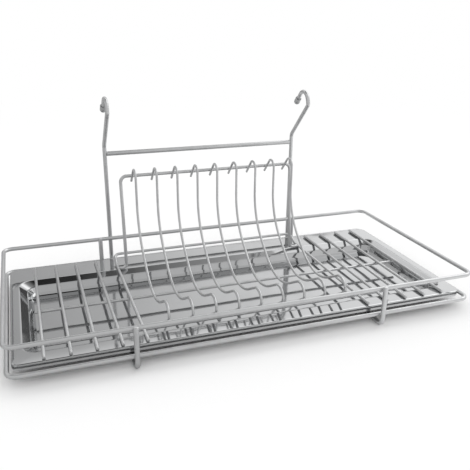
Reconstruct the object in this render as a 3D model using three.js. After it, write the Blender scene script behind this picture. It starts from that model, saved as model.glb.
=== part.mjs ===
// Hanging dish drying rack: a wire frame with two wall hooks, a stamped drip tray that stands in it
// and a draining insert for plates and cups that stands on the tray.
import * as THREE from 'three';

// Driving dimensions, in millimetres. X runs along the wall, Y towards the wall and Z up.
// Heights and Y places are taken from the centre of the upper guard ring.

// Wire gauges and the seam left between two welded wires
const ringWire = 4.6;
const carrierWire = 5;
const hookWire = 4.8;
const wallBarWire = 5.4;
const plateFrameWire = 3.8;
const gridWire = 3.2;
const plateWire = 2.7;
const weldGap = 0.3;

// Guard rings
const ringLength = 480;
const ringDepth = 228.4;
const ringSpacing = 28.9;
const ringBend = 10;

// Carriers: the U-shaped wires that join the rings and run under the tray
const carrierSpread = 256.2;
const carrierShift = -0.9;
const carrierDrop = 39.7;
const carrierTopReach = 3.6;
const carrierBend = 8;

// Hooks: uprights behind the rings, a slope towards the room, a crown and a falling tip
const hookSpread = 241.5;
const hookShift = 5.15;
const hookFootReach = 2.4;
const kneeHeight = 115.2;
const shoulderHeight = 158.9;
const shoulderReach = 43.3;
const crownCornerHeight = 186.2;
const crownCornerReach = 35.6;
const tipHeight = 157.2;
const tipReach = 10.55;
const kneeBend = 8;
const shoulderBend = 2.6;
const crownBend = 12.6;
const wallBarHeight = 104.9;

// Caps on the hook tips
const capDiameter = 7.5;
const capLength = 9.6;
const capEndWall = 1.4;
const capRim = 0.6;

// Drip tray
const trayLength = 471.4;
const trayDepth = 210;
const trayWallClearance = 1.8;
const traySheet = 0.7;
const trayCorner = 8;
const rimRoll = 1.6;
const lipDrop = 5;
const sideRim = 9.3;
const frontRim = 16.5;
const backRim = 35.5;
const recessDepth = 13;
const recessCorner = 14;
const shoulderWidth = 8.5;
const shoulderDrop = 4.3;
const wallWidth = 3;
const floorBend = 2.4;
const recessTaperShare = 0.35;

// Draining insert: base wires, cross wires and the plate base wire with its raised back rail
const insertShift = 1.8;
const plateBayWidth = 234.1;
const gridPitch = 23.22;
const gridWiresPerSide = 4;
const gridFrontMargin = 1.7;
const gridBackMargin = 6.8;
const crossWireOverhang = 4.6;
const crossWirePlace = -7.5;
const frontWirePlace = -76;
const backRailPlace = 97;
const backRailLift = 6.5;
const backRailRun = 17;
const backRailRiseBend = 10;
const backRailCornerBend = 7;

// Plate wires: crown and tail over the plates' back stop, cradle and front curl
const plateWireCount = 9;
const platePitch = 23.58;
const plateStopPlace = 51;
const crownHeight = 98.3;
const plateCrownBend = 8.3;
const tailDip = THREE.MathUtils.degToRad(46.6);
const tailReach = 28.9;
const stopCornerHeight = 31.4;
const cradlePlace = -22.3;
const cradleHeight = -27.6;
const browPlace = -83.5;
const browHeight = 6.7;
const nosePlace = -94.9;
const noseHeight = -7.6;
const stopBend = 66.6;
const cradleBend = 57.4;
const browBend = 13;
const noseBend = 6.4;
const curlSlope = THREE.MathUtils.degToRad(35.3);
const curlOverrun = 1.4;

// Plate frame: the inverted U that carries the tails of the plate wires
const plateFrameWidth = 211;
const plateFrameShift = -1.5;
const tailSeatShare = 0.86;
const plateFrameBend = 7;
const plateFootBend = 5;
const plateFootPlace = 67.8;

// Fineness of bends and sections
const bendStep = THREE.MathUtils.degToRad(16);
const thickWireSides = 12;
const thinWireSides = 8;
const trayCornerSteps = 6;
const capSegments = 16;
const capDomeSteps = 4;

// Places worked out from the driving dimensions
const lowerRingZ = -ringSpacing;
const frontRailFace = ringDepth / 2 + ringWire / 2 + weldGap;
const backRailFace = ringDepth / 2 - ringWire / 2 - weldGap;
const carrierFrontY = -(frontRailFace + carrierWire / 2);
const carrierBackY = backRailFace - carrierWire / 2;
const carrierRunZ = -carrierDrop;
const uprightY = frontRailFace + hookWire / 2;
const floorZ = carrierRunZ + carrierWire / 2 + weldGap + traySheet;
const rimZ = floorZ + recessDepth;
const gridZ = rimZ + weldGap + gridWire / 2;
const crossWireZ = gridZ - gridWire - weldGap;

const chromedWire = new THREE.MeshStandardMaterial({ color: 0xc4c6c8, roughness: 0.16, metalness: 1 });
const zincCap = new THREE.MeshStandardMaterial({ color: 0xa4a6a8, roughness: 0.34, metalness: 0.9 });
const polishedSheet = new THREE.MeshStandardMaterial({ color: 0xbcbec0, roughness: 0.1, metalness: 1 });

const at = (x, y, z) => new THREE.Vector3(x, y, z);

// A wire's centre line: straight runs have one step, bends have several.
class WirePath extends THREE.Curve {
  constructor(points, closed = false) {
    super();
    this.points = points;
    this.closed = closed;
    this.steps = closed ? points.length : points.length - 1;
  }

  indexAt(share) {
    return Math.round(share * this.steps) % this.points.length;
  }

  getPoint(share) {
    return this.points[this.indexAt(share)].clone();
  }

  getPointAt(share) {
    return this.getPoint(share);
  }

  getTangentAt(share) {
    const index = this.indexAt(share);
    const count = this.points.length;
    const here = this.points[index];
    const before = this.points[this.closed ? (index + count - 1) % count : Math.max(index - 1, 0)];
    const after = this.points[this.closed ? (index + 1) % count : Math.min(index + 1, count - 1)];
    const arriving = here.clone().sub(before).normalize();
    const leaving = after.clone().sub(here).normalize();
    return arriving.add(leaving).normalize();
  }
}

// The points of one bend at a corner, from the straight before it to the straight after it
function bendPoints(before, corner, after, radius) {
  const back = before.clone().sub(corner).normalize();
  const ahead = after.clone().sub(corner).normalize();
  const turn = Math.PI - back.angleTo(ahead);
  const inward = back.clone().add(ahead).normalize();
  const centre = corner.clone().addScaledVector(inward, radius / Math.cos(turn / 2));
  const spoke = corner.clone().addScaledVector(back, radius * Math.tan(turn / 2)).sub(centre);
  const axis = ahead.clone().cross(back).normalize();
  const steps = Math.ceil(turn / bendStep);
  const points = [];
  for (let step = 0; step <= steps; step += 1) {
    points.push(spoke.clone().applyAxisAngle(axis, (turn * step) / steps).add(centre));
  }
  return points;
}

// A wire bent at each inner corner, with one radius for every corner
function bentPath(corners, radii) {
  const last = corners.length - 1;
  const bends = radii.flatMap((radius, bend) => (
    bendPoints(corners[bend], corners[bend + 1], corners[bend + 2], radius)));
  return new WirePath([corners[0], ...bends, corners[last]]);
}

// A regular section whose flats touch the wire's true circle
function wireSection(diameter, sides) {
  const reach = diameter / 2 / Math.cos(Math.PI / sides);
  const outline = [];
  for (let side = 0; side < sides; side += 1) {
    const angle = ((2 * side + 1) * Math.PI) / sides;
    outline.push(new THREE.Vector2(Math.cos(angle), Math.sin(angle)).multiplyScalar(reach));
  }
  return new THREE.Shape(outline);
}

function wireMesh(name, path, diameter, sides) {
  const geometry = new THREE.ExtrudeGeometry(wireSection(diameter, sides), {
    steps: path.steps,
    extrudePath: path,
  });
  return named(name, geometry, chromedWire);
}

function named(name, geometry, material) {
  const mesh = new THREE.Mesh(geometry, material);
  mesh.name = name;
  return mesh;
}

// Guard rings: closed wires, so the tube joins its own start
function guardRing(name, z) {
  const x = ringLength / 2;
  const y = ringDepth / 2;
  const corners = [at(-x, -y, z), at(x, -y, z), at(x, y, z), at(-x, y, z)];
  const points = corners.flatMap((corner, index) => (
    bendPoints(corners[(index + 3) % 4], corner, corners[(index + 1) % 4], ringBend)));
  const path = new WirePath(points, true);
  const geometry = new THREE.TubeGeometry(path, path.steps, ringWire / 2, thickWireSides, true);
  return named(name, geometry, chromedWire);
}

function carrier(name, x) {
  const corners = [
    at(x, carrierFrontY, carrierTopReach),
    at(x, carrierFrontY, carrierRunZ),
    at(x, carrierBackY, carrierRunZ),
    at(x, carrierBackY, carrierTopReach),
  ];
  return wireMesh(name, bentPath(corners, [carrierBend, carrierBend]), carrierWire, thickWireSides);
}

// The corners of a hook, from the foot of its upright to the tip
function hookCorners(x) {
  return [
    at(x, uprightY, lowerRingZ - hookFootReach),
    at(x, uprightY, kneeHeight),
    at(x, uprightY - shoulderReach, shoulderHeight),
    at(x, uprightY - crownCornerReach, crownCornerHeight),
    at(x, uprightY - tipReach, tipHeight),
  ];
}

function hookUpright(name, x) {
  const path = bentPath(hookCorners(x), [kneeBend, shoulderBend, crownBend]);
  return wireMesh(name, path, hookWire, thickWireSides);
}

// A domed cap with a blind bore that slips over the hook's tip
function hookTipCap(name, x) {
  const radius = capDiameter / 2;
  const bore = hookWire / 2 / Math.cos(Math.PI / thickWireSides) + weldGap;
  const boreDepth = capLength - capEndWall;
  const profile = [
    new THREE.Vector2(0, boreDepth),
    new THREE.Vector2(bore, boreDepth),
    new THREE.Vector2(bore, 0),
    new THREE.Vector2(radius - capRim, 0),
    new THREE.Vector2(radius, capRim),
  ];
  for (let step = 0; step <= capDomeSteps; step += 1) {
    const angle = (step / capDomeSteps) * (Math.PI / 2);
    profile.push(new THREE.Vector2(
      step === capDomeSteps ? 0 : radius * Math.cos(angle),
      capLength - radius + radius * Math.sin(angle),
    ));
  }
  const cap = named(name, new THREE.LatheGeometry(profile, capSegments), zincCap);
  const [crownCorner, tip] = hookCorners(x).slice(-2);
  const direction = tip.clone().sub(crownCorner).normalize();
  cap.quaternion.setFromUnitVectors(at(0, 1, 0), direction);
  cap.position.copy(tip).addScaledVector(direction, weldGap - boreDepth);
  return cap;
}

function wallCrossBar(leftX, rightX) {
  const setback = hookWire / 2 + weldGap;
  const path = new WirePath([
    at(leftX + setback, uprightY, wallBarHeight),
    at(rightX - setback, uprightY, wallBarHeight),
  ]);
  return wireMesh('wall_cross_bar', path, wallBarWire, thickWireSides);
}

// Tray outlines as edges in the plan
const trayBack = carrierBackY - carrierWire / 2 - trayWallClearance;
const trayEdge = { left: -trayLength / 2, right: trayLength / 2, front: trayBack - trayDepth, back: trayBack };
const recessMouth = {
  left: trayEdge.left + sideRim,
  right: trayEdge.right - sideRim,
  front: trayEdge.front + frontRim,
  back: trayEdge.back - backRim,
};

// A counter-clockwise loop of points round a rectangle, set in from its edges, with round corners
function roundedLoop(edges, inset, radius, z) {
  const left = edges.left + inset + radius;
  const right = edges.right - inset - radius;
  const front = edges.front + inset + radius;
  const back = edges.back - inset - radius;
  const centres = [[right, back], [left, back], [left, front], [right, front]];
  return centres.flatMap(([x, y], quarter) => {
    const points = [];
    for (let step = 0; step <= trayCornerSteps; step += 1) {
      const angle = (quarter + step / trayCornerSteps) * (Math.PI / 2);
      points.push(at(x + radius * Math.cos(angle), y + radius * Math.sin(angle), z));
    }
    return points;
  });
}

// Tray section from the rim's lip to the floor: x is the way in from the short edge, y the height
function traySection() {
  const wallFoot = sideRim + shoulderWidth + wallWidth;
  const quarterBend = 1 - Math.SQRT1_2;
  return [
    new THREE.Vector2(0, rimZ - lipDrop),
    new THREE.Vector2(0, rimZ - rimRoll),
    new THREE.Vector2(rimRoll * quarterBend, rimZ - rimRoll * quarterBend),
    new THREE.Vector2(rimRoll, rimZ),
    new THREE.Vector2(sideRim, rimZ),
    new THREE.Vector2(sideRim + shoulderWidth, rimZ - shoulderDrop),
    new THREE.Vector2(wallFoot, floorZ + floorBend),
    new THREE.Vector2(wallFoot + floorBend * quarterBend, floorZ + floorBend * quarterBend),
    new THREE.Vector2(wallFoot + floorBend, floorZ),
  ];
}

// The same section one sheet thickness further down and in
function underside(section) {
  const last = section.length - 1;
  const normalOf = (start) => {
    const way = section[start + 1].clone().sub(section[start]).normalize();
    return new THREE.Vector2(way.y, -way.x);
  };
  return section.map((point, index) => {
    const before = normalOf(Math.max(index - 1, 0));
    const after = normalOf(Math.min(index, last - 1));
    const reach = traySheet / (1 + before.dot(after));
    return point.clone().addScaledVector(before.add(after), reach);
  });
}

function trayLoop(point) {
  if (point.x < sideRim / 2) {
    return roundedLoop(trayEdge, point.x, trayCorner - point.x, point.y);
  }
  const inset = point.x - sideRim;
  return roundedLoop(recessMouth, inset, recessCorner - inset * recessTaperShare, point.y);
}

// A closed solid through loops of equal count, with a flat cap on the first and the last loop
function loft(loops) {
  const count = loops[0].length;
  const positions = loops.flat().flatMap((point) => point.toArray());
  const faces = [];
  for (let level = 0; level < loops.length - 1; level += 1) {
    for (let side = 0; side < count; side += 1) {
      const a = level * count + side;
      const b = level * count + ((side + 1) % count);
      faces.push(a, b, b + count, a, b + count, a + count);
    }
  }
  const top = (loops.length - 1) * count;
  for (let side = 1; side < count - 1; side += 1) {
    faces.push(0, side + 1, side);
    faces.push(top, top + side, top + side + 1);
  }
  const geometry = new THREE.BufferGeometry();
  geometry.setAttribute('position', new THREE.Float32BufferAttribute(positions, 3));
  geometry.setIndex(faces);
  geometry.computeVertexNormals();
  return geometry;
}

function dripTray() {
  const section = traySection();
  const stations = [...underside(section).reverse(), ...section];
  return named('drip_tray', loft(stations.map(trayLoop)), polishedSheet);
}

// Draining insert, with its own zero across the wall
const gridFrontY = trayEdge.front + gridFrontMargin;
const gridBackY = trayEdge.back - gridBackMargin;
const bayHalf = plateBayWidth / 2;
const outerWireX = bayHalf + gridWiresPerSide * gridPitch;

function gridWireMesh(side, number) {
  const x = (side === 'left' ? -1 : 1) * (bayHalf + number * gridPitch);
  const path = new WirePath([at(x, gridFrontY, gridZ), at(x, gridBackY, gridZ)]);
  return wireMesh(`grid_wire_${side}_${number}`, path, gridWire, thinWireSides);
}

function crossWire(name, y) {
  const reach = outerWireX + crossWireOverhang;
  const path = new WirePath([at(-reach, y, crossWireZ), at(reach, y, crossWireZ)]);
  return wireMesh(name, path, gridWire, thinWireSides);
}

// One wire: a leg along each side of the plate bay and the raised rail at the back
function plateBaseWire() {
  const riseY = backRailPlace - backRailRun;
  const railZ = gridZ + backRailLift;
  const leg = (x) => [at(x, gridFrontY, gridZ), at(x, riseY, gridZ), at(x, backRailPlace, railZ)];
  const corners = [...leg(-bayHalf), ...leg(bayHalf).reverse()];
  const radii = [backRailRiseBend, backRailCornerBend, backRailCornerBend, backRailRiseBend];
  return wireMesh('plate_base_wire', bentPath(corners, radii), gridWire, thinWireSides);
}

// The crown's corner point, where the stop's line meets the tail's line
const crownTurn = Math.PI / 2 + tailDip;
const crownCornerZ = crownHeight - plateCrownBend + plateCrownBend * Math.tan(crownTurn / 2);

function onTail(reach, x) {
  return at(x, plateStopPlace + reach, crownCornerZ - reach * Math.tan(tailDip));
}

// A plate wire from its tail over the crown, down the stop, through the cradle to the front curl,
// which ends just past the top of the front cross wire
function plateWireMesh(number) {
  const x = (number - (plateWireCount + 1) / 2) * platePitch;
  const curlWay = at(0, Math.cos(curlSlope), -Math.sin(curlSlope));
  const curlLift = at(0, Math.sin(curlSlope), Math.cos(curlSlope));
  const curlEnd = at(x, frontWirePlace, crossWireZ)
    .addScaledVector(curlLift, (gridWire + plateWire) / 2 + weldGap)
    .addScaledVector(curlWay, curlOverrun);
  const corners = [
    onTail(tailReach, x),
    onTail(0, x),
    at(x, plateStopPlace, stopCornerHeight),
    at(x, cradlePlace, cradleHeight),
    at(x, browPlace, browHeight),
    at(x, nosePlace, noseHeight),
    curlEnd,
  ];
  const path = bentPath(corners, [plateCrownBend, stopBend, cradleBend, browBend, noseBend]);
  return wireMesh(`plate_wire_${number}`, path, plateWire, thinWireSides);
}

// The frame's bar lies against the back of the tails; its feet butt against the plate base wire.
function plateFrame() {
  const seat = (plateFrameWire + plateWire) / 2 + weldGap;
  const bar = onTail(tailReach * tailSeatShare, 0)
    .add(at(0, Math.sin(tailDip), Math.cos(tailDip)).multiplyScalar(seat));
  const footZ = rimZ + weldGap + plateFrameWire / 2;
  const footEndX = bayHalf - gridWire / 2 - weldGap;
  const half = plateFrameWidth / 2;
  const leg = (side) => [
    at(side * footEndX, plateFootPlace, footZ),
    at(side * half + plateFrameShift, plateFootPlace, footZ),
    at(side * half + plateFrameShift, bar.y, bar.z),
  ];
  const corners = [...leg(-1), ...leg(1).reverse()];
  const radii = [plateFootBend, plateFrameBend, plateFrameBend, plateFootBend];
  return wireMesh('plate_frame', bentPath(corners, radii), plateFrameWire, thickWireSides);
}

function hangingFrame() {
  const carrierX = carrierSpread / 2;
  const hookX = hookSpread / 2;
  const frame = new THREE.Group();
  frame.add(
    guardRing('top_ring', 0),
    guardRing('lower_ring', lowerRingZ),
    carrier('carrier_left', carrierShift - carrierX),
    carrier('carrier_right', carrierShift + carrierX),
    hookUpright('hook_upright_left', hookShift - hookX),
    hookUpright('hook_upright_right', hookShift + hookX),
    hookTipCap('hook_tip_cap_left', hookShift - hookX),
    hookTipCap('hook_tip_cap_right', hookShift + hookX),
    wallCrossBar(hookShift - hookX, hookShift + hookX),
  );
  return frame;
}

function drainingInsert() {
  const insert = new THREE.Group();
  insert.position.x = insertShift;
  for (let number = 1; number <= gridWiresPerSide; number += 1) {
    insert.add(gridWireMesh('left', number), gridWireMesh('right', number));
  }
  insert.add(plateBaseWire(), crossWire('grid_cross_wire', crossWirePlace));
  insert.add(crossWire('front_cross_wire', frontWirePlace), plateFrame());
  for (let number = 1; number <= plateWireCount; number += 1) {
    insert.add(plateWireMesh(number));
  }
  return insert;
}

// The rack's own zero is the middle of its box, at the height of the carriers' undersides.
const frontReach = carrierWire / 2 - carrierFrontY;
const backReach = uprightY + Math.max(hookWire, wallBarWire) / 2;
const rack = new THREE.Group();
rack.add(hangingFrame(), dripTray(), drainingInsert());
rack.position.y = (frontReach - backReach) / 2;
rack.position.z = carrierDrop + carrierWire / 2;

export default rack;
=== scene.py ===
# %% [markdown]
# # A hanging dish drying rack
# The real rack is bent from plated steel wire, thick for the frame and thin for the
# plates, and carries one stamped sheet tray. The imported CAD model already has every
# piece in its place, but with coarse bends, so this lesson sweeps each wire again with
# a round section, presses the tray with soft creases, adds the weld beads, and gives
# each metal its own finish.

# %% Load the frame
import math

import bmesh
import bpy
from mathutils import Matrix, Vector


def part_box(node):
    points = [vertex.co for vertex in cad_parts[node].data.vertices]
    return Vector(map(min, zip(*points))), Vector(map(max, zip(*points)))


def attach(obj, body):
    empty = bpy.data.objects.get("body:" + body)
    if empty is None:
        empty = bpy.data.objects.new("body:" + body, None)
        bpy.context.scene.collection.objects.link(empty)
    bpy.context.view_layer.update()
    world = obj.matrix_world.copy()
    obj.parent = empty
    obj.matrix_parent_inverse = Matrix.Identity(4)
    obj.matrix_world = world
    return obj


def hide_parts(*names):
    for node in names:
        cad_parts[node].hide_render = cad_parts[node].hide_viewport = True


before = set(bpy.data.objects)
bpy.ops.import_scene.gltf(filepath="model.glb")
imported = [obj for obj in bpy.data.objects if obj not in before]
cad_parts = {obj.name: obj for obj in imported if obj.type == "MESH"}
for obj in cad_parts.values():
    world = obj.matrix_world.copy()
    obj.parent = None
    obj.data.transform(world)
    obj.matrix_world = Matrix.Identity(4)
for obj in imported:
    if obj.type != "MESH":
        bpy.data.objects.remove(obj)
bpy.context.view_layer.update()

# %% [markdown]
# ## Measures
# A wire worker thinks in millimetres from one datum, so every place below is in
# millimetres from the centre of the upper guard ring. The ring's own box in the frame
# says where that centre is, and `at` turns such a place into metres.

# %% The datum
MM = 0.001
ring_low, ring_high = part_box("top_ring")
DATUM = (ring_low + ring_high) / 2


def at(x, y, z):
    return DATUM + Vector((x, y, z)) * MM


print("datum in metres:", [round(value, 5) for value in DATUM])

# %% Gauges and the main places
RING_WIRE = 4.6
CARRIER_WIRE = 5
HOOK_WIRE = 4.8
WALL_BAR_WIRE = 5.4
PLATE_FRAME_WIRE = 3.8
GRID_WIRE = 3.2
PLATE_WIRE = 2.7
SEAM = 0.3

RING_X = 240
RING_Y = 114.2
LOWER_RING_Z = -28.9
CARRIER_XS = (-129, 127.2)
HOOK_XS = (-115.6, 125.9)
INSERT_SHIFT = 1.8
RIM_Z = -23.2
GRID_Z = RIM_Z + SEAM + GRID_WIRE / 2
CROSS_Z = GRID_Z - GRID_WIRE - SEAM
CROSS_Y = -7.5
FRONT_CROSS_Y = -76
print("frame wires:", RING_WIRE, CARRIER_WIRE, HOOK_WIRE, WALL_BAR_WIRE, "mm")
print("insert wires:", PLATE_FRAME_WIRE, GRID_WIRE, PLATE_WIRE, "mm")

# %% [markdown]
# ## Finishes
# The plating on the wires is satin and the sheet of the tray is polished. Neither is
# perfect: the metal under the shine wanders a little, and hands and water leave faint
# marks. Both effects serve several metals here, so each is a node group with its own
# inputs and outputs, and every metal sets how much of it shows.


# %% A helper for node groups
def new_group(name, numbers, outputs):
    group = bpy.data.node_groups.new(name, "ShaderNodeTree")
    for label, value in numbers.items():
        socket = group.interface.new_socket(label, in_out="INPUT", socket_type="NodeSocketFloat")
        socket.default_value = value
    for label, kind in outputs.items():
        group.interface.new_socket(label, in_out="OUTPUT", socket_type=kind)
    nodes = group.nodes
    return group, nodes.new("NodeGroupInput"), nodes.new("NodeGroupOutput")


print("node groups before the first one:", len(bpy.data.node_groups))

# %% [markdown]
# The first group is the wander of a drawn or rolled surface. A slow noise and a fine
# grain, each with a scale of its own, lift a Bump node by a fraction of a millimetre,
# which is enough to make the edge of a reflection waver as it does on real wire.


# %% Surface wander
def make_wander():
    group, given, result = new_group(
        "surface_wander",
        {"Scale": 60.0, "Height": 0.02, "Grain Scale": 1500.0, "Grain": 0.1},
        {"Normal": "NodeSocketVector"},
    )
    nodes, links = group.nodes, group.links
    place = nodes.new("ShaderNodeTexCoord")
    slow = nodes.new("ShaderNodeTexNoise")
    fine = nodes.new("ShaderNodeTexNoise")
    slow.inputs["Detail"].default_value = 2.0
    fine.inputs["Detail"].default_value = 3.0
    share = nodes.new("ShaderNodeMath")
    share.operation = "MULTIPLY"
    total = nodes.new("ShaderNodeMath")
    total.operation = "ADD"
    bump = nodes.new("ShaderNodeBump")
    bump.inputs["Strength"].default_value = 1.0
    links.new(place.outputs["Object"], slow.inputs["Vector"])
    links.new(place.outputs["Object"], fine.inputs["Vector"])
    links.new(given.outputs["Scale"], slow.inputs["Scale"])
    links.new(given.outputs["Grain Scale"], fine.inputs["Scale"])
    links.new(fine.outputs["Fac"], share.inputs[0])
    links.new(given.outputs["Grain"], share.inputs[1])
    links.new(slow.outputs["Fac"], total.inputs[0])
    links.new(share.outputs[0], total.inputs[1])
    links.new(total.outputs[0], bump.inputs["Height"])
    links.new(given.outputs["Height"], bump.inputs["Distance"])
    links.new(bump.outputs["Normal"], result.inputs["Normal"])
    return group


surface_wander = make_wander()
print("group:", surface_wander.name)

# %% [markdown]
# The second group is handling: cloudy patches where the shine is a touch duller. It
# gives a mask from 0 to 1, which each metal mixes into its colour and its roughness.


# %% Handling marks
def make_marks():
    group, given, result = new_group(
        "handling_marks",
        {"Scale": 30.0, "Low": 0.45, "High": 0.7},
        {"Mask": "NodeSocketFloat"},
    )
    nodes, links = group.nodes, group.links
    place = nodes.new("ShaderNodeTexCoord")
    cloud = nodes.new("ShaderNodeTexNoise")
    cloud.inputs["Detail"].default_value = 5.0
    cloud.inputs["Roughness"].default_value = 0.6
    limit = nodes.new("ShaderNodeMapRange")
    limit.interpolation_type = "SMOOTHSTEP"
    links.new(place.outputs["Object"], cloud.inputs["Vector"])
    links.new(given.outputs["Scale"], cloud.inputs["Scale"])
    links.new(cloud.outputs["Fac"], limit.inputs["Value"])
    links.new(given.outputs["Low"], limit.inputs["From Min"])
    links.new(given.outputs["High"], limit.inputs["From Max"])
    links.new(limit.outputs["Result"], result.inputs["Mask"])
    return group


handling_marks = make_marks()
print("group:", handling_marks.name)


# %% A metal from the two groups
def mixed(tree, mask, kind, low, high):
    """Goes from one colour or number to another by the mask."""
    mix = tree.nodes.new("ShaderNodeMix")
    mix.data_type = kind
    sockets = [s for s in mix.inputs if s.enabled]
    tree.links.new(mask, sockets[0])
    sockets[1].default_value = low
    sockets[2].default_value = high
    return [s for s in mix.outputs if s.enabled][0]


def metal(name, clean, worn, shine, dull, wander, marks, metallic=1.0):
    material = bpy.data.materials.new(name)
    material.use_nodes = True
    tree = material.node_tree
    shader = tree.nodes["Principled BSDF"]
    shader.inputs["Metallic"].default_value = metallic
    relief = tree.nodes.new("ShaderNodeGroup")
    relief.node_tree = surface_wander
    cloud = tree.nodes.new("ShaderNodeGroup")
    cloud.node_tree = handling_marks
    for label, value in wander.items():
        relief.inputs[label].default_value = value
    for label, value in marks.items():
        cloud.inputs[label].default_value = value
    mask = cloud.outputs["Mask"]
    tree.links.new(mixed(tree, mask, "RGBA", clean, worn), shader.inputs["Base Color"])
    tree.links.new(mixed(tree, mask, "FLOAT", shine, dull), shader.inputs["Roughness"])
    tree.links.new(relief.outputs["Normal"], shader.inputs["Normal"])
    return material


print("groups that every metal takes:", [surface_wander.name, handling_marks.name])

# %% [markdown]
# Four metals use the groups. The wires' satin plating scatters some of the light, so it
# is not wholly metallic. The caps are a little duller. The tray's upper side is
# polished almost to a mirror, and its underside is much darker, near black: painted
# shade that stands in for the deep shadow under the tray, between its lip and the ring.

# %% The four metals
chromed_wire = metal(
    "chromed_wire",
    clean=(0.62, 0.625, 0.63, 1), worn=(0.56, 0.565, 0.57, 1),
    shine=0.28, dull=0.36, metallic=0.75,
    wander={"Scale": 40.0, "Height": 0.00004, "Grain Scale": 1800.0, "Grain": 0.002},
    marks={"Scale": 45.0, "Low": 0.42, "High": 0.72},
)
tip_cap = metal(
    "tip_cap",
    clean=(0.50, 0.505, 0.51, 1), worn=(0.40, 0.405, 0.41, 1),
    shine=0.36, dull=0.46, metallic=0.6,
    wander={"Scale": 300.0, "Height": 0.00015, "Grain Scale": 2600.0, "Grain": 0.35},
    marks={"Scale": 220.0, "Low": 0.40, "High": 0.65},
)
polished_sheet = metal(
    "polished_sheet",
    clean=(0.53, 0.535, 0.54, 1), worn=(0.50, 0.505, 0.51, 1),
    shine=0.05, dull=0.10,
    wander={"Scale": 14.0, "Height": 0.0006, "Grain Scale": 1200.0, "Grain": 0.006},
    marks={"Scale": 18.0, "Low": 0.45, "High": 0.75},
)
# Painted shade: the underside is near black to stand in for the shadow under the tray.
painted_shade_underside = metal(
    "painted_shade_underside",
    clean=(0.06, 0.06, 0.062, 1), worn=(0.045, 0.045, 0.046, 1),
    shine=0.35, dull=0.50,
    wander={"Scale": 30.0, "Height": 0.0002, "Grain Scale": 1600.0, "Grain": 0.3},
    marks={"Scale": 25.0, "Low": 0.40, "High": 0.70},
)
FINISH = {"chromed_wire": chromed_wire, "tip_cap": tip_cap, "polished_sheet": polished_sheet}
print("finishes:", sorted(FINISH))

# %% [markdown]
# ## From a bmesh to a piece of the object
# Every new piece ends the same way.


# %% Finish a piece
SHARP_CREASE = math.radians(40)


def finish_piece(bm, name, body, slot, *nodes):
    mesh = bpy.data.meshes.new(name)
    bm.to_mesh(mesh)
    bm.free()
    mesh.shade_smooth()
    mesh.set_sharp_from_angle(angle=SHARP_CREASE)
    piece = bpy.data.objects.new(name, mesh)
    bpy.context.scene.collection.objects.link(piece)
    piece.data.materials.append(FINISH[slot])
    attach(piece, body)
    if nodes:
        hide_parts(*nodes)
    return piece


print("sharp from", round(math.degrees(SHARP_CREASE)), "degrees")

# %% [markdown]
# ## Bending wire
# A bent wire is a circle that travels: it is pulled along each straight run and turned
# round the centre of each bend. A curve with a bevel depth would be quicker, but its
# bends are not true arcs. Here a straight is `extrude_edge_only` with a move, and a
# bend is `spin`, so every bend has exactly the radius of the tool that made it.


# %% One bend
def bend_at(before, corner, after, radius):
    """Where a bend at a corner starts, what it turns about, and how far."""
    back = (before - corner).normalized()
    ahead = (after - corner).normalized()
    turn = math.pi - back.angle(ahead)
    reach = radius * math.tan(turn / 2)
    centre = corner + (back + ahead).normalized() * (radius / math.cos(turn / 2))
    return {
        "start": corner + back * reach,
        "end": corner + ahead * reach,
        "centre": centre,
        "axis": ahead.cross(back).normalized(),
        "turn": turn,
    }


def rim_of(geometry):
    return [part for part in geometry if isinstance(part, bmesh.types.BMEdge) and part.is_boundary]


def pull(bm, rim, way):
    grown = bmesh.ops.extrude_edge_only(bm, edges=rim)["geom"]
    verts = [part for part in grown if isinstance(part, bmesh.types.BMVert)]
    bmesh.ops.translate(bm, verts=verts, vec=way)
    return rim_of(grown)


right_angle = bend_at(Vector((50, 0, 0)), Vector((0, 0, 0)), Vector((0, 50, 0)), 10)
print("a right-angled bend of 10 mm starts", round(right_angle["start"].length, 2), "mm early")

# %% A whole wire
BEND_STEP = math.radians(5)
FEWEST_STEPS = 3
CUT_EDGE = 0.3
CUT_STEPS = 3
THIN_SIDES = 24
THICK_SIDES = 32


def sweep_wire(bm, corners, radii, diameter, sides=THIN_SIDES, closed=False):
    """Pulls and spins a circle along the corners; radii has one bend for each inner corner."""
    radius = diameter * MM / 2
    heading = (corners[1] - corners[0]).to_track_quat("Z", "Y").to_matrix().to_4x4()
    section = bmesh.ops.create_circle(
        bm, segments=sides, radius=radius, matrix=Matrix.Translation(corners[0]) @ heading
    )
    first = list({edge for vert in section["verts"] for edge in vert.link_edges})
    rim, here = first, corners[0]
    for index, bend_radius in enumerate(radii):
        bend = bend_at(*corners[index:index + 3], bend_radius * MM)
        rim = pull(bm, rim, bend["start"] - here)
        steps = max(FEWEST_STEPS, math.ceil(bend["turn"] / BEND_STEP))
        verts = list({vert for edge in rim for vert in edge.verts})
        turned = bmesh.ops.spin(
            bm, geom=verts + rim, cent=bend["centre"], axis=bend["axis"],
            angle=bend["turn"], steps=steps,
        )
        rim, here = rim_of(turned["geom_last"]), bend["end"]
    rim = pull(bm, rim, corners[-1] - here)
    if closed:
        bmesh.ops.remove_doubles(bm, verts=bm.verts, dist=radius / 100)
    else:
        for end in (first, rim):
            bmesh.ops.edgeloop_fill(bm, edges=end)
        bmesh.ops.bevel(
            bm, geom=first + rim, offset=radius * CUT_EDGE, segments=CUT_STEPS,
            profile=0.5, affect="EDGES", material=-1,
        )
    bmesh.ops.recalc_face_normals(bm, faces=bm.faces)


def wire(name, body, corners, radii, diameter, **options):
    bm = bmesh.new()
    sweep_wire(bm, corners, radii, diameter, **options)
    return finish_piece(bm, name + "_bent", body, "chromed_wire", name)


print("a right-angled bend takes", math.ceil(right_angle["turn"] / BEND_STEP), "steps")

# %% [markdown]
# ## The guard rings
# Each ring is one wire bent at four corners, its ends butted and welded in the middle
# of the back. The sweep starts and ends there, and the doubled circle is merged.


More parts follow.
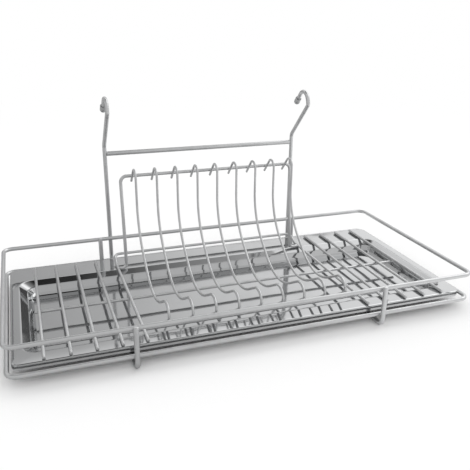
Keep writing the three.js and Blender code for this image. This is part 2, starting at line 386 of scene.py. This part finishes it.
# %% Two closed rings
RING_BEND = 10


def ring(name, z):
    corners = [
        at(0, RING_Y, z), at(-RING_X, RING_Y, z), at(-RING_X, -RING_Y, z),
        at(RING_X, -RING_Y, z), at(RING_X, RING_Y, z), at(0, RING_Y, z),
    ]
    bends = [RING_BEND] * 4
    return wire(
        name, "hanging_frame", corners, bends, RING_WIRE, closed=True, sides=THICK_SIDES
    )


rings = [ring("top_ring", 0), ring("lower_ring", LOWER_RING_Z)]
print("rings:", [len(piece.data.polygons) for piece in rings], "faces")

# %% [markdown]
# ## Carriers, hooks and wall bar
# A carrier is a U that holds the rings apart and bears the tray. A hook is one wire
# that rises behind the rings, leans towards the room and folds over the wall rail. All
# are open wires, so their cut ends are closed and broken with a small bevel.

# %% Carriers
CARRIER_FRONT = -(RING_Y + RING_WIRE / 2 + SEAM + CARRIER_WIRE / 2)
CARRIER_BACK = RING_Y - RING_WIRE / 2 - SEAM - CARRIER_WIRE / 2
CARRIER_TOP = 3.6
CARRIER_RUN = -39.7
CARRIER_BENDS = [8, 8]

for side, x in zip(("left", "right"), CARRIER_XS):
    corners = [
        at(x, CARRIER_FRONT, CARRIER_TOP), at(x, CARRIER_FRONT, CARRIER_RUN),
        at(x, CARRIER_BACK, CARRIER_RUN), at(x, CARRIER_BACK, CARRIER_TOP),
    ]
    wire(
        "carrier_" + side, "hanging_frame", corners, CARRIER_BENDS, CARRIER_WIRE,
        sides=THICK_SIDES,
    )
print("carriers at x", CARRIER_XS)

# %% Hooks and the wall bar
UPRIGHT_Y = RING_Y + RING_WIRE / 2 + SEAM + HOOK_WIRE / 2
WALL_BAR_Z = 104.9
HOOK_FOOT_Z = LOWER_RING_Z - 2.4
HOOK_KNEE_Z = 115.2
HOOK_FOLD = [(43.3, 158.9), (35.6, 186.2), (10.55, 157.2)]
HOOK_BENDS = [8, 2.6, 12.6]


def hook_corners(x):
    """Up the straight post, then over the fold, each of whose corners has a reach and a height."""
    post = [at(x, UPRIGHT_Y, HOOK_FOOT_Z), at(x, UPRIGHT_Y, HOOK_KNEE_Z)]
    return post + [at(x, UPRIGHT_Y - reach, z) for reach, z in HOOK_FOLD]


for side, x in zip(("left", "right"), HOOK_XS):
    name = "hook_upright_" + side
    wire(name, "hanging_frame", hook_corners(x), HOOK_BENDS, HOOK_WIRE, sides=THICK_SIDES)

bar_ends = [
    at(HOOK_XS[0] + HOOK_WIRE / 2 + SEAM, UPRIGHT_Y, WALL_BAR_Z),
    at(HOOK_XS[1] - HOOK_WIRE / 2 - SEAM, UPRIGHT_Y, WALL_BAR_Z),
]
wire("wall_cross_bar", "hanging_frame", bar_ends, [], WALL_BAR_WIRE, sides=THICK_SIDES)
print("hooks at x", HOOK_XS)

# %% [markdown]
# ## Caps on the hook tips
# A small drawn cap keeps the cut tip from scratching the rail. It is a cup: a circle
# pulled up as a wall, closed by a dome, with a rolled mouth. One half of its section is
# drawn and spun a full turn, which is how such a cap is drawn in a press.

# %% Spin a cap
CAP_RADIUS = 3.75
CAP_LENGTH = 9.6
CAP_CROWN = 1.4
CAP_WALL = 1.25
CAP_MOUTH = 0.7
MOUTH_FLARE = 0.3
MOUTH_EASE = 0.25
NECK_DEPTH = 0.18
NECK_RISE = 1.6
DOME_STEP = 10
CAP_SIDES = 40


def cap_section():
    """The cap's half section, in millimetres: distance from the axis and height."""
    bore = CAP_RADIUS - CAP_WALL
    dome = [
        (CAP_RADIUS * math.cos(angle), CAP_LENGTH - CAP_RADIUS + CAP_RADIUS * math.sin(angle))
        for angle in (math.radians(step) for step in range(0, 90, DOME_STEP))
    ]
    inside = CAP_LENGTH - CAP_CROWN
    mouth = [
        (bore, CAP_MOUTH / 2), (bore + CAP_WALL * MOUTH_FLARE, 0),
        (CAP_RADIUS - MOUTH_EASE, 0), (CAP_RADIUS, CAP_MOUTH / 3), (CAP_RADIUS, CAP_MOUTH),
        (CAP_RADIUS - NECK_DEPTH, CAP_MOUTH * NECK_RISE),
    ]
    return [(0, inside), (bore, inside), *mouth, *dome, (0, CAP_LENGTH)]


def tip_cap_piece(side, x):
    bm = bmesh.new()
    verts = [bm.verts.new(Vector((r, 0, h)) * MM) for r, h in cap_section()]
    edges = [bm.edges.new(pair) for pair in zip(verts, verts[1:])]
    bmesh.ops.spin(
        bm, geom=verts + edges, cent=(0, 0, 0), axis=(0, 0, 1), angle=math.tau,
        steps=CAP_SIDES, use_merge=True,
    )
    bmesh.ops.remove_doubles(bm, verts=bm.verts, dist=MM / 1000)
    bmesh.ops.recalc_face_normals(bm, faces=bm.faces)
    crown, tip = hook_corners(x)[-2:]
    way = (tip - crown).normalized()
    seat = tip + way * (SEAM - CAP_LENGTH + CAP_CROWN) * MM
    turn = way.to_track_quat("Z", "Y").to_matrix().to_4x4()
    bm.transform(Matrix.Translation(seat) @ turn)
    name = "hook_tip_cap_" + side
    return finish_piece(bm, name + "_drawn", "hanging_frame", "tip_cap", name)


caps = [tip_cap_piece(side, x) for side, x in zip(("left", "right"), HOOK_XS)]
print("caps:", [cap.name for cap in caps])

# %% [markdown]
# ## The drip tray
# The tray is one sheet pressed in steps: a lip that turns down, a flat rim, a sloping
# shoulder, a steep wall and the floor. Each step is a rounded rectangle, made from a
# plain face whose corners are bevelled. Two of them lie in one plane, where a bridge
# can't tell which way to go, so they are bridged as a tall stack and each loop then
# drops to its own height. The creases are bevelled as the press rounds them, and a
# Solidify modifier gives the sheet its thickness underneath, where a second material
# paints it near black as painted shade for the shadow under the tray. A mirror shows
# every fault of its normals, so Weighted Normal lets each large flat face keep its own,
# and only the creases turn. The lip turns down a little further than in the CAD model,
# as deep as the real one looks.

# %% Tray measures
TRAY = {"left": -235.7, "right": 235.7, "front": -105.2, "back": 104.8}
MOUTH = {"left": -226.4, "right": 226.4, "front": -88.7, "back": 69.3}
FLOOR_Z = RIM_Z - 13
SHEET = 0.7
TRAY_STEPS = [
    # rectangle, inset, corner radius, height
    (TRAY, 1.3, 6.7, RIM_Z - 5.6),
    (TRAY, 0.9, 7.1, RIM_Z - 6.4),
    (TRAY, 0.0, 8.0, RIM_Z - 6.0),
    (TRAY, 0.0, 8.0, RIM_Z - 1.5),
    (TRAY, 0.45, 7.55, RIM_Z - 0.45),
    (TRAY, 1.5, 6.5, RIM_Z),
    (MOUTH, 0.0, 14.0, RIM_Z),
    (MOUTH, 8.5, 11.0, RIM_Z - 4.3),
    (MOUTH, 11.5, 9.97, FLOOR_Z + 2.4),
    (MOUTH, 13.9, 9.1, FLOOR_Z),
]
CREASED_STEPS = slice(6, 9)
CREASE_ROUND = 1.1
CREASE_CUTS = 4
CORNER_STEPS = 14
STACK_STEP = 60
print("tray:", TRAY["right"] - TRAY["left"], "by", TRAY["back"] - TRAY["front"], "mm")


# %% One rounded rectangle
def rounded_loop(bm, edges, inset, radius, z):
    low = at(edges["left"] + inset, edges["front"] + inset, z)
    high = at(edges["right"] - inset, edges["back"] - inset, z)
    verts = bmesh.ops.create_grid(bm, x_segments=1, y_segments=1, size=0.5)["verts"]
    size = high - low
    bmesh.ops.scale(bm, verts=verts, vec=(size.x, size.y, 1))
    bmesh.ops.translate(bm, verts=verts, vec=(low + high) / 2)
    rounded = bmesh.ops.bevel(
        bm, geom=verts, offset=radius * MM, segments=CORNER_STEPS, profile=0.5,
        affect="VERTICES", material=-1,
    )
    face = rounded["verts"][0].link_faces[0]
    loop = list(face.edges)
    bmesh.ops.delete(bm, geom=[face], context="FACES_ONLY")
    return loop


print("each loop of the tray has", 4 * (CORNER_STEPS + 1), "points")

# %% Press the tray
def press_tray():
    bm = bmesh.new()
    stack = [-STACK_STEP * index for index in range(len(TRAY_STEPS))]
    loops = [rounded_loop(bm, *step[:3], z) for step, z in zip(TRAY_STEPS, stack)]
    for outer, inner in zip(loops, loops[1:]):
        bmesh.ops.bridge_loops(bm, edges=outer + inner)
    for loop, step, z in zip(loops, TRAY_STEPS, stack):
        verts = list({vert for edge in loop for vert in edge.verts})
        bmesh.ops.translate(bm, verts=verts, vec=Vector((0, 0, step[3] - z)) * MM)
    floor_face = bmesh.ops.edgeloop_fill(bm, edges=loops[-1])["faces"][0]
    bmesh.ops.recalc_face_normals(bm, faces=bm.faces)
    if floor_face.normal.z < 0:
        bmesh.ops.reverse_faces(bm, faces=bm.faces)
    creases = [edge for loop in loops[CREASED_STEPS] for edge in loop]
    bmesh.ops.bevel(
        bm, geom=creases, offset=CREASE_ROUND * MM, segments=CREASE_CUTS, profile=0.5,
        affect="EDGES", material=-1,
    )
    return bm


tray = finish_piece(press_tray(), "drip_tray_pressed", "tray", "polished_sheet", "drip_tray")
thickness = tray.modifiers.new("sheet", "SOLIDIFY")
thickness.thickness = SHEET * MM
thickness.offset = -1
# The second material is painted shade: near black, standing in for the shadow under the tray.
tray.data.materials.append(painted_shade_underside)
thickness.material_offset = 1
flatness = tray.modifiers.new("flat faces stay flat", "WEIGHTED_NORMAL")
flatness.keep_sharp = True
print("tray faces:", len(tray.data.polygons))

# %% [markdown]
# ## The draining insert
# The insert is a small grid that stands on the tray's rim. Straight wires at both ends
# carry cups, a U with a raised back rail goes round the plate bay, and two cross wires
# under them tie it together. An Array modifier could repeat the straight wires, but
# each has its own node in the CAD model, so a loop sweeps one piece for each.

# %% Base wires and cross wires
BAY_HALF = 117.05
GRID_PITCH = 23.22
GRID_WIRES = 4
GRID_FRONT = TRAY["front"] + 1.7
GRID_BACK = TRAY["back"] - 6.8
CROSS_OVERHANG = 4.6
CROSS_REACH = BAY_HALF + GRID_WIRES * GRID_PITCH + CROSS_OVERHANG

for number in range(1, GRID_WIRES + 1):
    for side, sign in (("left", -1), ("right", 1)):
        x = INSERT_SHIFT + sign * (BAY_HALF + number * GRID_PITCH)
        ends = [at(x, GRID_FRONT, GRID_Z), at(x, GRID_BACK, GRID_Z)]
        wire(f"grid_wire_{side}_{number}", "draining_insert", ends, [], GRID_WIRE)

for name, y in (("grid_cross_wire", CROSS_Y), ("front_cross_wire", FRONT_CROSS_Y)):
    ends = [at(INSERT_SHIFT + reach, y, CROSS_Z) for reach in (-CROSS_REACH, CROSS_REACH)]
    wire(name, "draining_insert", ends, [], GRID_WIRE)
print("grid wires every", GRID_PITCH, "mm")

# %% The plate bay's base wire
RAIL_Y = 97
RAIL_Z = GRID_Z + 6.5
RAIL_SLOPE_RUN = 17
BAY_BENDS = [10, 7, 7, 10]


def bay_leg(x):
    slope_foot = at(x, RAIL_Y - RAIL_SLOPE_RUN, GRID_Z)
    return [at(x, GRID_FRONT, GRID_Z), slope_foot, at(x, RAIL_Y, RAIL_Z)]


left_leg = bay_leg(INSERT_SHIFT - BAY_HALF)
right_leg = bay_leg(INSERT_SHIFT + BAY_HALF)
wire("plate_base_wire", "draining_insert", left_leg + right_leg[::-1], BAY_BENDS, GRID_WIRE)
print("base wire legs at x", INSERT_SHIFT - BAY_HALF, INSERT_SHIFT + BAY_HALF)

# %% [markdown]
# ## Plate wires and their frame
# Each plate wire is bent five times in one plane: a tight crown over the frame's bar, a
# long curve down behind the plate, the cradle that the plate's rim rolls into, and a
# brow with a small curl that ends on the front cross wire. A free curve would be quick
# to draw, but a bending tool leaves true arcs, so the straight lines between the bends
# meet at the corner points below and each corner has its own radius.

# %% Plate wires
PLATE_PITCH = 23.58
STOP_Y = 51
CROWN_CORNER_Z = 110.86
TAIL_DIP = math.radians(46.6)
TAIL_REACH = 28.9
PLATE_CURVE = [(STOP_Y, 31.4), (-22.3, -27.6), (-83.5, 6.7), (-94.9, -7.6)]
PLATE_BENDS = [8.3, 66.6, 57.4, 13, 6.4]
CURL_SLOPE = math.radians(35.3)
CURL_TAIL = 1.4


def on_tail(x, reach):
    return at(x, STOP_Y + reach, CROWN_CORNER_Z - reach * math.tan(TAIL_DIP))


def curl_end(x):
    lift = (GRID_WIRE + PLATE_WIRE) / 2 + SEAM
    y = FRONT_CROSS_Y + lift * math.sin(CURL_SLOPE) + CURL_TAIL * math.cos(CURL_SLOPE)
    z = CROSS_Z + lift * math.cos(CURL_SLOPE) - CURL_TAIL * math.sin(CURL_SLOPE)
    return at(x, y, z)


plate_xs = [INSERT_SHIFT + (number - 5) * PLATE_PITCH for number in range(1, 10)]
for number, x in enumerate(plate_xs, start=1):
    curve = [at(x, y, z) for y, z in PLATE_CURVE]
    corners = [on_tail(x, TAIL_REACH), on_tail(x, 0), *curve, curl_end(x)]
    wire(f"plate_wire_{number}", "draining_insert", corners, PLATE_BENDS, PLATE_WIRE)
print("plate wires at x", [round(x, 1) for x in plate_xs])

# %% The plate frame
FRAME_HALF = 105.5
FOOT_Y = 67.8
FOOT_Z = RIM_Z + SEAM + PLATE_FRAME_WIRE / 2
FRAME_SHIFT = INSERT_SHIFT - 1.5
FRAME_BENDS = [5, 7, 7, 5]
BAR_REACH = TAIL_REACH * 0.86
BAR_SEAT = (PLATE_FRAME_WIRE + PLATE_WIRE) / 2 + SEAM


def frame_leg(sign):
    foot_end = INSERT_SHIFT + sign * (BAY_HALF - GRID_WIRE / 2 - SEAM)
    x = FRAME_SHIFT + sign * FRAME_HALF
    lift = Vector((0, math.sin(TAIL_DIP), math.cos(TAIL_DIP))) * BAR_SEAT * MM
    bar = on_tail(x, BAR_REACH) + lift
    return [at(foot_end, FOOT_Y, FOOT_Z), at(x, FOOT_Y, FOOT_Z), bar]


frame_corners = frame_leg(-1) + frame_leg(1)[::-1]
wire(
    "plate_frame", "draining_insert", frame_corners, FRAME_BENDS, PLATE_FRAME_WIRE,
    sides=THICK_SIDES,
)
print("plate frame feet at y", FOOT_Y)

# %% [markdown]
# ## Weld beads
# Where two wires cross, a spot welder melts them into each other and leaves a low bead.
# The CAD model keeps a thin seam there. A boolean union would join the wires, but with
# ragged faces, so each bead is a squashed sphere that fills the seam, and all the beads
# of one body are one piece.


# %% Beads
def bead(bm, place, size):
    ball = bmesh.ops.create_uvsphere(bm, u_segments=14, v_segments=8, radius=0.5)["verts"]
    bmesh.ops.scale(bm, verts=ball, vec=Vector(size) * MM)
    bmesh.ops.translate(bm, verts=ball, vec=place)


RING_BEAD = (3.4, 1.5, 3.4)
BUTT_BEAD = (1.6, RING_WIRE + 0.4, RING_WIRE + 0.4)
BAR_BEAD = (1.8, 5.2, 5.9)

frame_beads = bmesh.new()
for z in (0, LOWER_RING_Z):
    for x in CARRIER_XS:
        bead(frame_beads, at(x, -(RING_Y + RING_WIRE / 2 + SEAM / 2), z), RING_BEAD)
        bead(frame_beads, at(x, RING_Y - RING_WIRE / 2 - SEAM / 2, z), RING_BEAD)
    for x in HOOK_XS:
        bead(frame_beads, at(x, RING_Y + RING_WIRE / 2 + SEAM / 2, z), RING_BEAD)
    bead(frame_beads, at(0, RING_Y, z), BUTT_BEAD)
for x, inward in zip(HOOK_XS, (1, -1)):
    end = x + inward * (HOOK_WIRE + SEAM) / 2
    bead(frame_beads, at(end, UPRIGHT_Y, WALL_BAR_Z), BAR_BEAD)
finish_piece(frame_beads, "frame_weld_beads", "hanging_frame", "chromed_wire")
print("frame beads done")

# %% Beads of the insert
CROSS_BEAD = (1.9, 1.9, 1.0)
CROWN_BEAD = (2.0, 1.6, 1.6)
CURL_BEAD = (1.7, 1.7, 1.1)
FOOT_BEAD = (1.1, 2.6, 2.4)

insert_beads = bmesh.new()
for sign in (-1, 1):
    for number in range(GRID_WIRES + 1):
        x = INSERT_SHIFT + sign * (BAY_HALF + number * GRID_PITCH)
        for y in (CROSS_Y, FRONT_CROSS_Y):
            bead(insert_beads, at(x, y, (GRID_Z + CROSS_Z) / 2), CROSS_BEAD)
for x in plate_xs:
    seat = on_tail(x, BAR_REACH)
    lift = Vector((0, math.sin(TAIL_DIP), math.cos(TAIL_DIP))) * (PLATE_WIRE + SEAM) / 2 * MM
    bead(insert_beads, seat + lift, CROWN_BEAD)
    touch = at(x, FRONT_CROSS_Y, CROSS_Z)
    rise = Vector((0, math.sin(CURL_SLOPE), math.cos(CURL_SLOPE))) * (GRID_WIRE + SEAM) / 2 * MM
    bead(insert_beads, touch + rise, CURL_BEAD)
for sign in (-1, 1):
    foot_end = INSERT_SHIFT + sign * (BAY_HALF - (GRID_WIRE + SEAM) / 2)
    bead(insert_beads, at(foot_end, FOOT_Y, (FOOT_Z + GRID_Z) / 2), FOOT_BEAD)
finish_piece(insert_beads, "insert_weld_beads", "draining_insert", "chromed_wire")
print("insert beads done")

# %% [markdown]
# ## Floor, light and camera
# The rack stands on its carriers on a plain pale floor. A smooth number range is the
# tool for all of it: it fades the floor, shades the surround and softens each edge.

# %% Floor
FLOOR_HALF = 6
FLOOR_GAP = 0.0002

floor_bm = bmesh.new()
bmesh.ops.create_grid(floor_bm, x_segments=1, y_segments=1, size=FLOOR_HALF)
floor_mesh = bpy.data.meshes.new("floor")
floor_bm.to_mesh(floor_mesh)
floor_bm.free()
floor = bpy.data.objects.new("floor", floor_mesh)
floor.location.z = -FLOOR_GAP
bpy.context.scene.collection.objects.link(floor)
floor_paint = bpy.data.materials.new("floor_paint")
floor.data.materials.append(floor_paint)
print("floor ready")


# %% Ranges, products and blends of numbers
def ranged(tree, value, start, end, low, high):
    """Goes smoothly from low to high while the value goes from start to end."""
    limit = tree.nodes.new("ShaderNodeMapRange")
    limit.interpolation_type = "SMOOTHSTEP"
    tree.links.new(value, limit.inputs["Value"])
    for label, number in zip(("From Min", "From Max", "To Min", "To Max"), (start, end, low, high)):
        limit.inputs[label].default_value = number
    return limit.outputs["Result"]


def times(tree, first, second):
    product = tree.nodes.new("ShaderNodeMath")
    product.operation = "MULTIPLY"
    tree.links.new(first, product.inputs[0])
    tree.links.new(second, product.inputs[1])
    return product.outputs[0]


def blended(tree, share, first, second):
    mix = tree.nodes.new("ShaderNodeMix")
    for socket, value in zip([s for s in mix.inputs if s.enabled], (share, first, second)):
        if isinstance(value, float):
            socket.default_value = value
        else:
            tree.links.new(value, socket)
    return mix.outputs[0]


def product_of_ranges(tree, parts, limits):
    """Is 1 inside all the limits, which are an axis and a range each."""
    product = None
    for axis, *numbers in limits:
        factor = ranged(tree, parts.outputs[axis], *numbers)
        product = times(tree, product, factor) if product else factor
    return product


print("helpers for the floor and the world ready")

# %% [markdown]
# The floor near the rack keeps its shadow. Further off it fades to pure white for the
# camera alone, so no horizon shows. For everything but the camera it is darker at the
# left and white at the right, as the studio is, so that the tray's lip and the
# undersides of the wires are grey at one end and bright at the other.

# %% Floor paint
NEAR_FLOOR = 0.45
FAR_FLOOR = 1.6
SEEN_FLOOR = 0.97
BOUNCE_RIGHT = (-0.15, 0.25, 0.55, 1.0)

floor_paint.use_nodes = True
tree = floor_paint.node_tree
paint = tree.nodes["Principled BSDF"]
paint.inputs["Roughness"].default_value = 0.9
paint.inputs["Specular IOR Level"].default_value = 0.0
path = tree.nodes.new("ShaderNodeLightPath")
camera_ray = path.outputs["Is Camera Ray"]
spot = tree.nodes.new("ShaderNodeTexCoord")
sides = tree.nodes.new("ShaderNodeSeparateXYZ")
tree.links.new(spot.outputs["Object"], sides.inputs[0])
bounce = ranged(tree, sides.outputs["X"], *BOUNCE_RIGHT)
tree.links.new(blended(tree, camera_ray, bounce, SEEN_FLOOR), paint.inputs["Base Color"])
distance = tree.nodes.new("ShaderNodeVectorMath")
distance.operation = "LENGTH"
tree.links.new(spot.outputs["Object"], distance.inputs[0])
far = ranged(tree, distance.outputs["Value"], NEAR_FLOOR, FAR_FLOOR, 0.0, 1.0)
white = tree.nodes.new("ShaderNodeEmission")
fade = tree.nodes.new("ShaderNodeMixShader")
tree.links.new(times(tree, camera_ray, far), fade.inputs["Fac"])
tree.links.new(paint.outputs[0], fade.inputs[1])
tree.links.new(white.outputs[0], fade.inputs[2])
tree.links.new(fade.outputs[0], tree.nodes["Material Output"].inputs["Surface"])
print("floor paint ready")

# %% [markdown]
# Polished metal shows the room, not the lamp, so the room is what has to be designed.
# To the camera the world is white, and to plain surfaces it is an even soft light. Only
# mirrored rays see a studio: a backdrop that brightens to the right and upwards, a
# dimmer room on the near side, a ceiling that is dark at the back left, and two dark
# cards, which photographers stand beside steel so that they draw the tray's inner walls.
# All of it depends on the direction alone, and stays put when the camera moves.

# %% Tones of the studio
# a range is its start, its end, the tone at the start and the tone at the end
BACKDROP_RIGHT = (-0.1, 0.6, 0.55, 1.2)
BACKDROP_UP = (0.50, 0.64, 1.0, 1.7)
ROOM_RIGHT = (0.0, 0.5, 0.65, 0.85)
CEILING_BACK = (-0.05, 0.20, 0.60, 0.03)
CEILING_RIGHT = (0.0, 0.5, 0.0, 1.0)
CEILING_SHINE = 0.7
BACKWARDS = (-0.3, 0.3, 0.0, 1.0)
OVERHEAD = (0.68, 0.84, 0.0, 1.0)
HORIZON_BACK = (-0.3, 0.3, 0.85, 0.45)
ABOVE_HORIZON = (0.10, 0.32, 0.0, 1.0)
SOFT_LIGHT_UP = (0.0, 0.7, 0.75, 1.05)
BEHIND = ("Y", 0.0, 0.5, 0.0, 1.0)
BACK_CARD = [
    ("X", 0.22, 0.28, 0.0, 1.0), ("X", 0.42, 0.50, 1.0, 0.0),
    ("Z", 0.12, 0.20, 0.0, 1.0), ("Z", 0.31, 0.35, 1.0, 0.0), BEHIND,
]
SIDE_CARD = [("X", -0.55, -0.45, 1.0, 0.0), ("Z", 0.24, 0.30, 1.0, 0.0), BEHIND]
BACK_CARD_SHINE = 0.10
SIDE_CARD_SHINE = 0.25
print("tones set for the backdrop, the room, the ceiling, the horizon and two cards")

# %% World
world = bpy.data.worlds.new("studio")
bpy.context.scene.world = world
world.use_nodes = True
tree = world.node_tree
way = tree.nodes.new("ShaderNodeTexCoord")
parts = tree.nodes.new("ShaderNodeSeparateXYZ")
tree.links.new(way.outputs["Generated"], parts.inputs[0])


def along(axis, limits):
    return ranged(tree, parts.outputs[axis], *limits)


backdrop = times(tree, along("X", BACKDROP_RIGHT), along("Z", BACKDROP_UP))
room = along("X", ROOM_RIGHT)
ceiling = blended(tree, along("X", CEILING_RIGHT), along("Y", CEILING_BACK), CEILING_SHINE)
walls = blended(tree, along("Y", BACKWARDS), room, backdrop)
upper = blended(tree, along("Z", OVERHEAD), walls, ceiling)
horizon = blended(tree, along("Z", ABOVE_HORIZON), along("Y", HORIZON_BACK), 1.0)
mirrored = times(tree, upper, horizon)
for card, shine_left in ((BACK_CARD, BACK_CARD_SHINE), (SIDE_CARD, SIDE_CARD_SHINE)):
    cover = product_of_ranges(tree, parts, card)
    mirrored = times(tree, mirrored, ranged(tree, cover, 0.0, 1.0, 1.0, shine_left))
print("mirrored studio ready")

# %% Which ray sees what
surround = tree.nodes["Background"]
tree.links.new(along("Z", SOFT_LIGHT_UP), surround.inputs["Strength"])
glossy = tree.nodes.new("ShaderNodeBackground")
tree.links.new(mirrored, glossy.inputs["Strength"])
seen = tree.nodes.new("ShaderNodeBackground")
for background in (surround, glossy, seen):
    background.inputs["Color"].default_value = (1, 1, 1, 1)
path = tree.nodes.new("ShaderNodeLightPath")
shader = surround.outputs[0]
for ray, background in (("Is Glossy Ray", glossy), ("Is Camera Ray", seen)):
    blend = tree.nodes.new("ShaderNodeMixShader")
    tree.links.new(path.outputs[ray], blend.inputs["Fac"])
    tree.links.new(shader, blend.inputs[1])
    tree.links.new(background.outputs[0], blend.inputs[2])
    shader = blend.outputs[0]
tree.links.new(shader, tree.nodes["World Output"].inputs["Surface"])
print("world ready")

# %% [markdown]
# One wide area lamp at the upper right gives the wires a soft highlight. It stands
# where no flat face of the tray mirrors it towards the main view.


# %% The lamp
def lamp(name, place, target, size, watts):
    data = bpy.data.lights.new(name, "AREA")
    data.shape = "RECTANGLE"
    data.size, data.size_y = size
    data.energy = watts
    obj = bpy.data.objects.new(name, data)
    obj.location = place
    aim = Vector(target) - Vector(place)
    obj.rotation_euler = aim.to_track_quat("-Z", "Y").to_euler()
    bpy.context.scene.collection.objects.link(obj)
    return obj


softbox = lamp(
    "top_softbox", place=(1.5, 0.2, 1.5), target=(0, 0, 0.1), size=(1.5, 1.5), watts=4
)
print("lamp:", softbox.name)

# %% [markdown]
# The camera could be set by eye, but the two guard rings are level rectangles of one
# size, so their corners in the picture fix its place, its turn and its lens.

# %% Camera
SENSOR = 36
LENS = 45.363
CAMERA_PLACE = at(-204.54, -579.01, 265.89)
CAMERA_TURN = (69.1636, -0.7147, -19.7106)

camera_data = bpy.data.cameras.new("camera")
camera_data.sensor_width = SENSOR
camera_data.lens = LENS
camera = bpy.data.objects.new("camera", camera_data)
camera.location = CAMERA_PLACE
camera.rotation_euler = [math.radians(angle) for angle in CAMERA_TURN]
bpy.context.scene.collection.objects.link(camera)
bpy.context.scene.camera = camera
bpy.context.scene.view_settings.view_transform = "Standard"
print("camera at", [round(value, 3) for value in camera.location])

# %% [markdown]
# ## The end
# Last, the view layer is brought up to date. The visual model has to stay inside the
# CAD model's box.

# %% Finish
bpy.context.view_layer.update()
